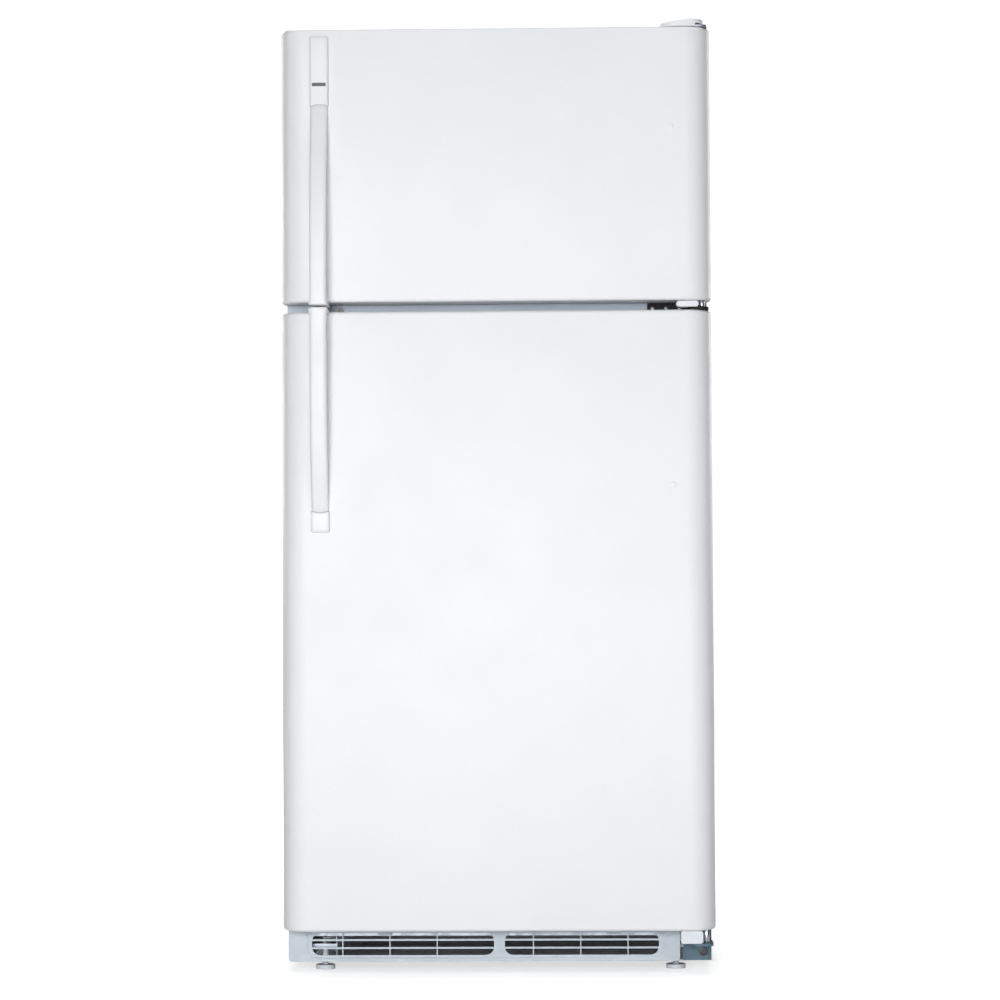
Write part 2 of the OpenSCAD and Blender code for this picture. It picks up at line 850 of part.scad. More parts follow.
module freezer_door_skin() door_skin(freezer_bottom, freezer_top);
module freezer_door_foam() door_foam(freezer_bottom, freezer_top);
module freezer_door_caps() {
    door_caps(freezer_bottom, freezer_top);
    color(grey) rod_z(freezer_top, freezer_top + 4, -x_pin, y_pin, 9);
}
module freezer_door_liner()
    door_liner(freezer_bottom, freezer_top, freezer_z[0] + 8, freezer_z[1] - 12);
module freezer_door_gasket() door_gasket(freezer_bottom, freezer_top);
module freezer_door_bins() {
    color(inner_white) {
        door_bin(freezer_z[0] + 14, 70, freezer_bin_d);
        door_bin(freezer_z[0] + 204, 70, freezer_bin_d);
    }
}

dike_z = [430, fridge_z[1] - 10];
dairy_z = [dike_z[1] - 120, dike_z[1] - 16];
dairy_x = [-dike_in + 0.5, -2];
dairy_y = y_door + 84;
flap_z = dairy_z[1] - 7;

module fridge_door_skin() door_skin(door_bottom, fridge_top);
module fridge_door_foam() door_foam(door_bottom, fridge_top);
module fridge_door_caps() door_caps(door_bottom, fridge_top);
module fridge_door_liner() door_liner(door_bottom, fridge_top, dike_z[0], dike_z[1]);
module fridge_door_gasket() door_gasket(door_bottom, fridge_top);
module fridge_door_bins() {
    color(inner_white) {
        door_bin(450, 95, bin_d);
        door_bin(670, 95, bin_d);
        door_bin(850, 75, bin_d);
    }
}

module dairy_box() {
    color(inner_white) {
        difference() {
            box(dairy_x[0], dairy_x[1], y_door + 0.5, dairy_y, dairy_z[0], dairy_z[1]);
            box(dairy_x[0] + 2.5, dairy_x[1] - 2.5, y_door, dairy_y + 1, dairy_z[0] + 2.5,
                dairy_z[1] - 2.5);
        }
        for (x = dairy_x) difference() {
            x0 = x < -10 ? x : x - 4;
            box(x0, x0 + 4, dairy_y - 8, dairy_y + 7, flap_z - 7, flap_z + 7);
            rod_x(x0 - 1, x0 + 5, dairy_y + 2, flap_z, 2 + fit);
        }
    }
}

module dairy_flap() {
    x0 = dairy_x[0] + 4.4;
    x1 = dairy_x[1] - 4.4;
    color([0.85, 0.92, 0.95, 0.6]) {
        rod_x(x0 - 4, x1 + 4, dairy_y + 2, flap_z, 2);
        rod_x(x0, x1, dairy_y + 2, flap_z, 3.5);
        box(x0, x1, dairy_y + 1, dairy_y + 3.5, dairy_z[0] + 2, flap_z);
        box((x0 + x1) / 2 - 25, (x0 + x1) / 2 + 25, dairy_y + 3, dairy_y + 9,
            dairy_z[0] + 6, dairy_z[0] + 9);
    }
}

cabinet_shell();
back_panel();
base_deck();
foam_insulation();
freezer_liner();
fridge_liner();
mullion_rail();
kick_plate();
top_hinge();
top_hinge_cover();
center_hinge();
bottom_hinge();
hinge_closers();
hole_plugs();
compressor_pan();
compressor();
condenser_coil();
condenser_fan_motor();
drain_pan();
rear_access_cover();
evaporator_coil();
evaporator_fan_motor();
evaporator_cover();
control_housing();
lamp_shield();
freezer_shelf();
shelf_frames();
shelf_glass();
crisper_cover();
wall_spacers();
roller_rails();
crisper_left();
crisper_right();
humidity_slider_left();
humidity_slider_right();
fridge_knob();
freezer_knob();
switch_plunger();
evaporator_fan_blade();
condenser_fan_blade();
rear_roller_left();
rear_roller_right();
front_leg_left();
front_leg_right();
freezer_door_skin();
freezer_door_foam();
freezer_door_liner();
freezer_door_gasket();
freezer_door_caps();
freezer_handle();
freezer_door_bins();
fridge_door_skin();
fridge_door_foam();
fridge_door_liner();
fridge_door_gasket();
fridge_door_caps();
fridge_handle();
fridge_door_bins();
dairy_box();
dairy_flap();
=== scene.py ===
"""Looks of the top freezer refrigerator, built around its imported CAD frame."""

import json
import math

import bmesh
import bpy
from mathutils import Matrix, Vector


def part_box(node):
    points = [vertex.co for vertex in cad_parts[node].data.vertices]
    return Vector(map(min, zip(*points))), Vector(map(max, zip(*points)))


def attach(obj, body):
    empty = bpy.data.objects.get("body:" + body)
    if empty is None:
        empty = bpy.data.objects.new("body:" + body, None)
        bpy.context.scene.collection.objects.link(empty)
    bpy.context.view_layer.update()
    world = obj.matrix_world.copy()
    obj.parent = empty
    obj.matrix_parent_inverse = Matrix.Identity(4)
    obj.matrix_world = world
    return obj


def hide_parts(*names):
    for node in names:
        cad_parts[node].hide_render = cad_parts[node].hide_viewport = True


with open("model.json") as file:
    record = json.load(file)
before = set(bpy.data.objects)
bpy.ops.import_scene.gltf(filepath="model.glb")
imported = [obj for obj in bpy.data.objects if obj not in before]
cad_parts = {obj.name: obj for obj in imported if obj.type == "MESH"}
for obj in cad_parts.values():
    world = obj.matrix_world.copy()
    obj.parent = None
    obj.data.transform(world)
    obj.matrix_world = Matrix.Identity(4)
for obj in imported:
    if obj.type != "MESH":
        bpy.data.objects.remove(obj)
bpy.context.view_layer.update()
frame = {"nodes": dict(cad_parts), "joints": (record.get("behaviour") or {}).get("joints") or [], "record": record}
NODES = frame["nodes"]
RECORD = frame["record"]
SLOT_OF = {s["node"]: s["material_slot"] for s in RECORD["subparts"]}
BODY_OF = {n: b for b, ns in RECORD["behaviour"]["bodies"].items() for n in ns}
MM = 0.001
SHARP = 35.0

# ---------------------------------------------------------------- materials


class Nodes:
    """A small writer of shader node trees."""

    def __init__(self, name):
        self.material = bpy.data.materials.new(name)
        self.material.use_nodes = True
        self.tree = self.material.node_tree
        self.shader = self.tree.nodes["Principled BSDF"]
        self.coords = self.tree.nodes.new("ShaderNodeTexCoord").outputs["Object"]

    def add(self, kind, **values):
        node = self.tree.nodes.new(kind)
        for key, value in values.items():
            if key in node.inputs:
                node.inputs[key].default_value = value
            else:
                setattr(node, key, value)
        return node

    def link(self, output, target):
        self.tree.links.new(output, target)

    def stretched(self, scale):
        """Object coordinates, scaled by a different amount along each axis."""
        mapping = self.add("ShaderNodeMapping")
        mapping.inputs["Scale"].default_value = scale
        self.link(self.coords, mapping.inputs["Vector"])
        return mapping.outputs["Vector"]

    def noise(self, scale, detail=3.0, roughness=0.55, vector=None):
        node = self.add("ShaderNodeTexNoise", Scale=scale, Detail=detail, Roughness=roughness)
        self.link(vector or self.coords, node.inputs["Vector"])
        return node.outputs["Fac"]

    def cells(self, scale):
        node = self.add("ShaderNodeTexVoronoi", Scale=scale, feature="SMOOTH_F1")
        self.link(self.coords, node.inputs["Vector"])
        return node.outputs["Distance"]

    def remap(self, value, low, high, to_low, to_high):
        node = self.add("ShaderNodeMapRange")
        for key, number in zip(("From Min", "From Max", "To Min", "To Max"), (low, high, to_low, to_high)):
            node.inputs[key].default_value = number
        self.link(value, node.inputs["Value"])
        return node.outputs["Result"]

    def maths(self, operation, a, b):
        node = self.add("ShaderNodeMath", operation=operation)
        for value, target in ((a, node.inputs[0]), (b, node.inputs[1])):
            if isinstance(value, (int, float)):
                target.default_value = value
            else:
                self.link(value, target)
        return node.outputs[0]

    def colour(self, factor, first, second):
        """Two colours, mixed by a factor, into the base colour."""
        node = self.add("ShaderNodeMix", data_type="RGBA")
        sockets = {s.identifier: s for s in node.inputs}
        sockets["A_Color"].default_value = (*first, 1)
        sockets["B_Color"].default_value = (*second, 1)
        self.link(factor, sockets["Factor_Float"])
        result = {s.identifier: s for s in node.outputs}["Result_Color"]
        self.link(result, self.shader.inputs["Base Color"])

    def bump(self, height, depth, normal=None):
        node = self.add("ShaderNodeBump", Strength=1.0, Distance=depth)
        self.link(height, node.inputs["Height"])
        if normal:
            self.link(normal, node.inputs["Normal"])
        self.link(node.outputs["Normal"], self.shader.inputs["Normal"])
        return node.outputs["Normal"]

    def roughness(self, value):
        self.link(value, self.shader.inputs["Roughness"])

    def set(self, **values):
        for key, value in values.items():
            self.shader.inputs[key.replace("_", " ")].default_value = value
        return self.material


def shade(colour, factor):
    return tuple(c * factor for c in colour)


def grime(n, amount, scale=3.0):
    """A slow, faint unevenness, with fine specks, from 0 (clean) to about amount."""
    slow = n.remap(n.noise(scale, 4.0), 0.42, 0.75, 0.0, amount)
    specks = n.remap(n.noise(scale * 160, 2.0), 0.62, 0.8, 0.0, amount)
    return n.maths("ADD", slow, specks)


def enamel(name, colour, pebble_scale, pebble_depth, rough):
    """Baked enamel on steel with a fine pebbled surface."""
    n = Nodes(name)
    n.colour(grime(n, 0.35), colour, shade(colour, 0.93))
    waves = n.bump(n.noise(7.0, 1.0), 0.0006)
    pebbles = n.maths("ADD", n.cells(pebble_scale), n.noise(pebble_scale * 0.8, 2.0))
    n.bump(pebbles, pebble_depth, waves)
    n.roughness(n.remap(n.noise(12.0), 0.3, 0.7, rough - 0.04, rough + 0.05))
    return n.set(Coat_Weight=0.06, Coat_Roughness=0.3, Specular_IOR_Level=0.3)


def plastic(name, colour, rough, grain=0.00004, spread=0.94):
    """Moulded plastic with a fine spark-eroded grain."""
    n = Nodes(name)
    n.colour(grime(n, 0.5, 5.0), colour, shade(colour, spread))
    n.bump(n.noise(900.0, 2.0), grain)
    n.roughness(n.remap(n.noise(30.0), 0.3, 0.7, rough - 0.05, rough + 0.06))
    return n.material


def sheet_steel(name, colour, rough):
    """Zinc-coated steel: large crystals of slightly different greys."""
    n = Nodes(name)
    spangle = 0.35
    crystals = n.add("ShaderNodeTexVoronoi", Scale=110.0)
    n.link(n.stretched((1.0, 1.0, 0.6)), crystals.inputs["Vector"])
    grey = n.add("ShaderNodeSeparateColor")
    n.link(crystals.outputs["Color"], grey.inputs["Color"])
    n.colour(n.remap(grey.outputs["Red"], 0.0, 1.0, 0.0, spangle), colour, shade(colour, 0.7))
    n.roughness(n.remap(grey.outputs["Green"], 0.0, 1.0, rough - 0.07, rough + 0.1))
    n.bump(n.noise(260.0, 3.0), 0.00003)
    return n.set(Metallic=0.85)


def brushed(name, colour, rough, axis_scale):
    """Steel or aluminium with fine parallel lines."""
    n = Nodes(name)
    lines = n.noise(1.0, 3.0, vector=n.stretched(axis_scale))
    n.colour(n.remap(lines, 0.35, 0.65, 0.0, 0.5), colour, shade(colour, 0.8))
    n.bump(lines, 0.00002)
    n.roughness(n.remap(lines, 0.3, 0.7, rough - 0.06, rough + 0.08))
    return n.set(Metallic=1.0)


def black_paint(name, colour, rough):
    n = Nodes(name)
    n.colour(grime(n, 0.8, 9.0), colour, tuple(c + 0.02 for c in colour))
    n.bump(n.noise(420.0, 3.0), 0.00006)
    n.roughness(n.remap(n.noise(18.0), 0.3, 0.7, rough - 0.08, rough + 0.1))
    return n.set(Specular_IOR_Level=0.15)


def foam_block(name, colour):
    n = Nodes(name)
    n.colour(n.remap(n.cells(300.0), 0.0, 0.6, 0.0, 1.0), colour, shade(colour, 0.75))
    n.bump(n.cells(220.0), 0.0004)
    return n.set(Roughness=0.95)


def vinyl(name, colour):
    n = Nodes(name)
    n.colour(grime(n, 0.8, 14.0), colour, shade(colour, 0.86))
    n.bump(n.noise(300.0, 3.0), 0.00008)
    return n.set(Roughness=0.6, Sheen_Weight=0.15, Sheen_Roughness=0.5)


def board(name, colour):
    """Pressed fibreboard: flecked fibres lying every way."""
    n = Nodes(name)
    fibres = n.noise(1.0, 5.0, 0.7, n.stretched((500.0, 500.0, 150.0)))
    n.colour(n.remap(fibres, 0.35, 0.65, 0.0, 1.0), colour, shade(colour, 0.6))
    n.bump(fibres, 0.00015)
    return n.set(Roughness=0.9)


def clear(name, colour, rough, alpha):
    """Clear moulded plastic or glass, seen through by its alpha."""
    n = Nodes(name)
    n.colour(n.noise(25.0, 2.0), colour, shade(colour, 0.96))
    n.bump(n.noise(60.0, 2.0), 0.00003)
    return n.set(Roughness=rough, Alpha=alpha, Specular_IOR_Level=0.7)


WHITE = (0.83, 0.84, 0.86)
MATERIALS = {
    "door_enamel": enamel("door_enamel", WHITE, 420.0, 0.00010, 0.46),
    "cabinet_enamel": enamel("cabinet_enamel", (0.80, 0.81, 0.83), 420.0, 0.00010, 0.46),
    "galvanised_steel": sheet_steel("galvanised_steel", (0.42, 0.46, 0.52), 0.42),
    # The mullion's grey-blue is painted shade: darker and bluer than its own pale colour, for the shaded gap
    # between the doors.
    "mullion_paint": enamel("mullion_paint", (0.62, 0.70, 0.81), 600.0, 0.00004, 0.42),
    "foam": foam_block("foam", (0.75, 0.62, 0.36)),
    "liner_plastic": plastic("liner_plastic", (0.80, 0.81, 0.82), 0.36, 0.00001),
    "white_plastic": plastic("white_plastic", (0.81, 0.82, 0.83), 0.38),
    "handle_plastic": plastic("handle_plastic", (0.81, 0.82, 0.84), 0.42, 0.00002),
    "bin_plastic": plastic("bin_plastic", (0.82, 0.83, 0.84), 0.34, 0.000004),
    "clear_plastic": clear("clear_plastic", (0.80, 0.88, 0.92), 0.12, 0.38),
    "lamp_plastic": clear("lamp_plastic", (0.92, 0.90, 0.82), 0.45, 0.62),
    "gasket_vinyl": vinyl("gasket_vinyl", (0.66, 0.68, 0.71)),
    "black_steel": black_paint("black_steel", (0.012, 0.012, 0.014), 0.46),
    "nylon": plastic("nylon", (0.76, 0.79, 0.84), 0.42, 0.00004, spread=0.86),
    "grey_plastic": plastic("grey_plastic", (0.20, 0.22, 0.25), 0.5, spread=0.8),
    "motor_steel": brushed("motor_steel", (0.45, 0.46, 0.48), 0.45, (40.0, 900.0, 40.0)),
    "black_plastic": plastic("black_plastic", (0.02, 0.02, 0.022), 0.5, spread=0.6),
    "fibreboard": board("fibreboard", (0.34, 0.23, 0.13)),
    "fin_aluminium": brushed("fin_aluminium", (0.72, 0.73, 0.75), 0.35, (900.0, 60.0, 60.0)),
    "white_wire": plastic("white_wire", (0.80, 0.81, 0.82), 0.35, 0.00006),
    "shelf_glass": clear("shelf_glass", (0.78, 0.90, 0.86), 0.03, 0.28),
}
CHROME = brushed("screw_steel", (0.62, 0.63, 0.66), 0.25, (200.0, 200.0, 200.0))
# Dark plastic for the name plate, plugs and knob dots; also painted shade in screw recesses and holes.
DARK = plastic("dark_trim_and_shade", (0.05, 0.055, 0.065), 0.30, spread=0.7)
BULB = clear("bulb_glass", (0.95, 0.93, 0.88), 0.2, 0.75)
# The kick plate's blue-grey is painted shade over its white plastic.
KICK_PAINTED_SHADE = plastic("kick_plastic_painted_shade", (0.54, 0.60, 0.66), 0.44, spread=0.92)
BRACKET = enamel("bracket_paint", (0.10, 0.17, 0.22), 500.0, 0.00005, 0.42)

# -------------------------------------------------------------- mesh helpers


def place(name, mesh, body, slot, material=None, replaced=()):
    """Links a mesh as a piece of the object that rides on a CAD body."""
    piece = bpy.data.objects.new(name, mesh)
    bpy.context.scene.collection.objects.link(piece)
    mesh.materials.clear()
    mesh.materials.append(material or MATERIALS[slot])
    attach(piece, body)
    if replaced:
        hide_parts(*replaced)
    return piece


def to_mesh(bm, name, sharp=SHARP):
    """A mesh with smooth shading, and sharp edges past an angle in degrees."""
    bmesh.ops.recalc_face_normals(bm, faces=bm.faces)
    mesh = bpy.data.meshes.new(name)
    bm.to_mesh(mesh)
    bm.free()
    mesh.shade_smooth()
    mesh.set_sharp_from_angle(angle=math.radians(sharp))
    return mesh


def soften(piece, width, segments=2):
    """Rounds a piece's edges, as a press or a mould leaves them."""
    bevel = piece.modifiers.new("rounded edges", "BEVEL")
    bevel.width = width
    bevel.segments = segments
    bevel.limit_method = "ANGLE"
    bevel.angle_limit = math.radians(SHARP)
    bevel.harden_normals = True
    return piece


def refine(node, width, material=None):
    """Replaces a CAD node by the same shape with merged faces and rounded edges."""
    bm = bmesh.new()
    bm.from_mesh(NODES[node].data)
    bmesh.ops.remove_doubles(bm, verts=bm.verts, dist=0.002 * MM)
    bmesh.ops.dissolve_limit(
        bm, angle_limit=math.radians(0.6), verts=bm.verts, edges=bm.edges)
    # A bevel can fill the notch of a concave face, so each one is split first.
    bmesh.ops.connect_verts_concave(bm, faces=bm.faces)
    mesh = to_mesh(bm, node + "_mesh")
    piece = place(node + "_finish", mesh, BODY_OF[node], SLOT_OF[node], material, [node])
    if width:
        soften(piece, width)
    return piece


def arc(cx, cy, radius, start, end, steps):
    """Points on an arc, from one angle to another in degrees."""
    angles = [math.radians(start + (end - start) * i / steps) for i in range(steps + 1)]
    return [(cx + radius * math.cos(a), cy + radius * math.sin(a)) for a in angles]


def rounded_outline(x0, x1, y0, y1, radii, steps=6):
    """A rectangle with its own radius at each corner, from (x0, y0) anticlockwise."""
    corners = [(x0, y0, 180), (x1, y0, 270), (x1, y1, 0), (x0, y1, 90)]
    points = []
    for (x, y, start), r in zip(corners, radii):
        cx = x + r if x == x0 else x - r
        cy = y + r if y == y0 else y - r
        points += arc(cx, cy, r, start, start + 90, steps)
    return points


def loft(rings, name, sharp=SHARP):
    """A closed skin over rings of 3-D points that all have as many points."""
    bm = bmesh.new()
    made = [[bm.verts.new(p) for p in ring] for ring in rings]
    count = len(rings[0])
    for low, high in zip(made, made[1:]):
        for i in range(count):
            j = (i + 1) % count
            bm.faces.new((low[i], low[j], high[j], high[i]))
    bm.faces.new(made[0][::-1])
    bm.faces.new(made[-1])
    return to_mesh(bm, name, sharp)


def revolve(profile, origin, axis, name, steps=32):
    """A solid turned about an axis, from (radius, height) points."""
    turn = Vector((0, 0, 1)).rotation_difference(Vector(axis)).to_matrix()
    rings = []
    for radius, height in profile:
        ring = []
        for i in range(steps):
            a = 2 * math.pi * i / steps
            point = Vector((radius * math.cos(a), radius * math.sin(a), height))
            ring.append(Vector(origin) + turn @ point)
        rings.append(ring)
    return loft(rings, name)


def pan_head(radius, height):
    """Profile of a domed screw head, up from its seat."""
    return [(radius, 0), (radius, height * 0.35)] + [
        (radius * math.cos(a), height * (0.35 + 0.65 * math.sin(a)))
        for a in (0.35, 0.7, 1.05, 1.35)] + [(0.02 * MM, height)]


def screw(name, at, axis, body, radius=4.2 * MM, height=2.2 * MM):
    """A screw head seated on a face, with a dark cross as painted shade in its recess."""
    place(name, revolve(pan_head(radius, height), at, axis, name), body,
          "galvanised_steel", CHROME)
    turn = Vector((0, 0, 1)).rotation_difference(Vector(axis)).to_matrix().to_4x4()
    bm = bmesh.new()
    for quarter in (0, math.pi / 2):
        bar = Matrix.Rotation(quarter + 0.4, 4, "Z") @ Matrix.Diagonal(
            (radius * 1.1, radius * 0.24, height * 0.3, 1))
        lift = Matrix.Translation((0, 0, height * 0.92))
        bmesh.ops.create_cube(bm, size=1.0, matrix=Matrix.Translation(at) @ turn @ lift @ bar)
    place(name + "_recess_shade", to_mesh(bm, name + "_recess_shade"), body, "black_steel", DARK)


def tube(name, points, radius, body, slot, material=None):
    """A round bar or pipe along a smooth path."""
    curve = bpy.data.curves.new(name, "CURVE")
    curve.dimensions = "3D"
    spline = curve.splines.new("BEZIER")
    spline.bezier_points.add(len(points) - 1)
    for target, point in zip(spline.bezier_points, points):
        target.co = point
        target.handle_left_type = target.handle_right_type = "AUTO"
    spline.resolution_u = 8
    curve.bevel_depth = radius
    curve.bevel_resolution = 4
    curve.use_fill_caps = True
    holder = bpy.data.objects.new(name + "_path", curve)
    mesh = bpy.data.meshes.new_from_object(holder)
    bpy.data.objects.remove(holder)
    mesh.shade_smooth()
    return place(name, mesh, body, slot, material)


# --------------------------------------------------------------------- doors

EDGE_R = 45 * MM
ROLLS = {"freezer_door": (6 * MM, 3.5 * MM), "fridge_door": (6 * MM, 6 * MM)}


def door_ring(low, high, z, inset):
    """One level of a door: round upright front edges, nearly square at the back."""
    radius = EDGE_R - inset
    back = high.y - 0.4 * MM
    outline = rounded_outline(low.x + inset, high.x - inset, low.y + inset, back,
                              (radius, radius, 2 * MM, 2 * MM), 20)
    return [(x, y, z) for x, y in outline]


def door_shell(door):
    """The steel skin, with its ends rolled in over recessed plastic caps."""
    low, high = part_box(door + "_skin")
    lower, upper = ROLLS[door]

    def rolled(roll):
        end = [(1.0 * MM, roll + 1.6 * MM), (0.0, roll + 1.2 * MM)]
        for i in range(7):
            a = math.radians(90 - 15 * i)
            end.append((roll * (1 - math.sin(a)), roll * (1 - math.cos(a))))
        return end

    rings = [door_ring(low, high, low.z + rise, inset) for rise, inset in rolled(lower)]
    rings += [door_ring(low, high, high.z - rise, inset)
              for rise, inset in reversed(rolled(upper))]
    mesh = loft(rings, door + "_shell")
    place(door + "_shell", mesh, BODY_OF[door + "_skin"], "door_enamel",
          replaced=[door + "_skin", door + "_foam"])
    ends = (("lower", low.z, 0.3 * MM, lower), ("upper", high.z, -0.3 * MM, upper))
    for side, z, rise, roll in ends:
        rings = [door_ring(low, high, z + lift, roll + 1.9 * MM) for lift in (rise, rise * 4)]
        cap = place(f"{door}_{side}_cap", loft(rings, door + "_cap"),
                    BODY_OF[door + "_skin"], "white_plastic", replaced=[door + "_caps"])
        soften(cap, 0.25 * MM, 2)


def bar_ring(x0, x1, front, back, radius, crown, z_of):
    """Section of a handle: rounded front corners and a slightly crowned front."""
    half, middle = (x1 - x0) / 2, (x0 + x1) / 2
    r = min(radius, (back - front) * 0.48, half * 0.9)
    points = arc(x0 + r, front + r, r, 180, 270, 5)
    points += [(x0 + r + (x1 - x0 - 2 * r) * i / 8, front) for i in range(1, 8)]
    points += arc(x1 - r, front + r, r, 270, 360, 5)
    rear = r * 0.5
    points += arc(x1 - rear, back - rear, rear, 0, 90, 3)
    points += arc(x0 + rear, back - rear, rear, 90, 180, 3)
    ring = []
    for x, y in points:
        across = 1 - ((x - middle) / half) ** 2
        if y < front + r * 1.01:
            y -= crown * across
        ring.append((x, y, z_of(across)))
    return ring


CROWN = 1.2 * MM


def handle(node, rises, trim, tab):
    """A bowed handle and its flat trim; rises is +1 where the trim is above the bow."""
    low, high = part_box(node)
    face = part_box(BODY_OF[node] + "_skin")[0].y
    out, thick, flat = face - low.y - CROWN, 13 * MM, 8 * MM
    bow = (high.z - low.z) - trim
    start = low.z if rises > 0 else high.z
    body = BODY_OF[node]
    behind = high.y - face

    def stand(t):
        return flat + (out - flat) * (1 - (t / bow) ** 3)

    # Each slice: distance from the gap end, front and back over the door face, inset.
    slices = [(0, out - 2.5 * MM, 2 * MM - behind, 2.5 * MM),
              (0.7 * MM, out - 0.8 * MM, 0.7 * MM - behind, 0.8 * MM),
              (2.2 * MM, out, -behind, 0), (tab - 0.3 * MM, out, -behind, 0)]
    inner = out - thick
    for rise, share in ((0.2, 0.02), (1.0, 0.3), (3.0, 0.62), (6.0, 0.85), (10.0, 0.96)):
        t = tab + rise * MM
        slices.append((t, stand(t), inner * share, 0))
    for i in range(40):
        t = tab + 14 * MM + (bow - 1.5 * MM - tab - 14 * MM) * i / 39
        slices.append((t, stand(t), max(-0.2 * MM, stand(t) - thick), 0))
    slices.append((bow - 0.4 * MM, flat - 0.6 * MM, -0.2 * MM, 0.5 * MM))
    trim_slices = [(bow + 0.2 * MM, flat - 1.2 * MM, -0.2 * MM, 0.6 * MM),
                   (bow + 1.2 * MM, flat - 0.3 * MM, -0.2 * MM, 0)]
    end = 5 * MM
    for i in range(9):
        t = bow + 2.5 * MM + (trim - end - 2.5 * MM) * i / 8
        trim_slices.append((t, flat - 0.3 * MM, -0.2 * MM, 0))
    for i in range(1, 7):
        a = math.radians(15 * i)
        trim_slices.append((bow + trim - end + end * math.sin(a),
                            flat - 0.3 * MM - 0.5 * end * (1 - math.cos(a)) - 0.3 * MM * i,
                            -0.2 * MM, end * (1 - math.cos(a))))
    pieces = (("_bow", slices, CROWN, 1.6 * MM), ("_trim", trim_slices, 0.6 * MM, 0.0))
    for name, cut, crown, narrow in pieces:
        rings = []
        for t, front, back, inset in cut:
            seam = max(0.0, 1 - abs(t - bow) / (14 * MM)) * 3 * MM
            side = inset + (narrow if t > 0.02 * bow else 0)

            def z_of(across, t=t, seam=seam):
                return start + rises * (t + seam * across)

            rings.append(bar_ring(low.x + side, high.x - side, face - front,
                                  face - back, 5 * MM, min(crown, front * 0.1), z_of))
        place(node + name, loft(rings, node + name, sharp=50), body, "handle_plastic",
              replaced=[node])


for door_name in ("freezer_door", "fridge_door"):
    door_shell(door_name)
    refine(door_name + "_liner", 1.2 * MM)
    refine(door_name + "_gasket", 1.0 * MM)
    refine(door_name + "_bins", 0.9 * MM)
handle("freezer_handle", 1, 124 * MM, 9 * MM)
handle("fridge_handle", -1, 38 * MM, 4 * MM)

# The buttons that close the spare handle holes, level with the bows.
skin_low, skin_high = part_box("freezer_door_skin")
gap_low, gap_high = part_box("fridge_door_skin")[1].z, skin_low.z
button_x = -sum(p.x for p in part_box("freezer_handle")) / 2
for body, height in (("freezer_door", gap_high + 304 * MM), ("fridge_door", gap_low - 306 * MM)):
    mesh = revolve(pan_head(6.2 * MM, 1.3 * MM), (button_x, skin_low.y, height), (0, -1, 0), "button")
    place(body + "_plug_button", mesh, body, "white_plastic")

# A plain dark name plate, with nothing on it.
grip_low, grip_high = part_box("freezer_handle")
plate_z = grip_high.z - 86 * MM
plate_x = (grip_low.x + grip_high.x) / 2
plate_y = skin_low.y - 8 * MM
plate = rounded_outline(plate_x - 12 * MM, plate_x + 12 * MM, plate_z - 3 * MM, plate_z + 3 * MM,
                        (1 * MM,) * 4, 3)
rings = [[(x, plate_y - out, z) for x, z in plate] for out in (-0.4 * MM, 0.7 * MM)]
soften(place("name_plate", loft(rings, "name_plate"), "freezer_door", "grey_plastic", DARK),
       0.3 * MM, 2)

# The spare hinge hole's plug on the freezer door.
pin_x, pin_y = frame["joints"][0]["pos_m"][0], frame["joints"][0]["pos_m"][1]
mesh = revolve(pan_head(9 * MM, 4 * MM), (-pin_x, pin_y, skin_high.z - 0.7 * MM), (0, 0, 1), "plug")
place("freezer_door_hole_plug", mesh, "freezer_door", "grey_plastic", MATERIALS["white_plastic"])

# ------------------------------------------------- cabinet, fittings, machine

BEVELS = {
    "cabinet_shell": 0.7, "back_panel": 0.4, "base_deck": 0.4, "foam_insulation": 0.0,
    "freezer_liner": 1.0, "fridge_liner": 1.0, "mullion_rail": 0.4, "kick_plate": 0.8,
    "top_hinge": 0.5, "top_hinge_cover": 1.6, "center_hinge": 0.6, "bottom_hinge": 0.6,
    "hinge_closers": 1.2, "hole_plugs": 0.5, "compressor_pan": 0.4, "compressor": 1.0,
    "condenser_coil": 0.0, "condenser_fan_motor": 0.6, "drain_pan": 0.6,
    "rear_access_cover": 0.3, "evaporator_coil": 0.0, "evaporator_fan_motor": 0.8,
    "evaporator_cover": 0.7, "control_housing": 1.4, "lamp_shield": 1.2,
    "freezer_shelf": 0.0, "shelf_frames": 1.5, "shelf_glass": 0.6, "crisper_cover": 1.2,
    "wall_spacers": 1.5, "roller_rails": 0.4, "crisper_left": 1.0, "crisper_right": 1.0,
    "humidity_slider_left": 1.0, "humidity_slider_right": 1.0, "fridge_knob": 1.0,
    "freezer_knob": 1.0, "switch_plunger": 0.5, "evaporator_fan_blade": 0.4,
    "condenser_fan_blade": 0.4, "rear_roller_left": 1.0, "rear_roller_right": 1.0,
    "front_leg_left": 0.8, "front_leg_right": 0.8, "dairy_box": 0.9, "dairy_flap": 0.0,
}
# The kick plate's colour here is painted shade; the bracket's and the plugs' are their own.
FINISHES_AND_SHADE = {"kick_plate": KICK_PAINTED_SHADE, "bottom_hinge": BRACKET, "hole_plugs": DARK}
for node, width in BEVELS.items():
    refine(node, width * MM, material=FINISHES_AND_SHADE.get(node))


def paint_flange_shade():
    """The cabinet's front flange gets the mullion's grey-blue as painted shade, where it lies in shadow round the
    doors.
    """
    mesh = bpy.data.objects["cabinet_shell_finish"].data
    mesh.materials.append(MATERIALS["mullion_paint"])
    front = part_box("cabinet_shell")[0].y
    for face in mesh.polygons:
        if face.normal.y < -0.9 and face.center.y < front + 0.5 * MM:
            face.material_index = 1


paint_flange_shade()

# ------------------------------------------------------------- small fittings

CABINET = BODY_OF["cabinet_shell"]
UP, FRONT, BACK = (0, 0, 1), (0, -1, 0), (0, 1, 0)
shell_low, shell_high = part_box("cabinet_shell")
plate_front = shell_low.y - 3 * MM


def dome(name, at, axis, radius, height, body, slot, material=None):
    """A domed button, rivet or printed dot."""
    mesh = revolve(pan_head(radius, height), at, axis, name, 24)
    return place(name, mesh, body, slot, material)


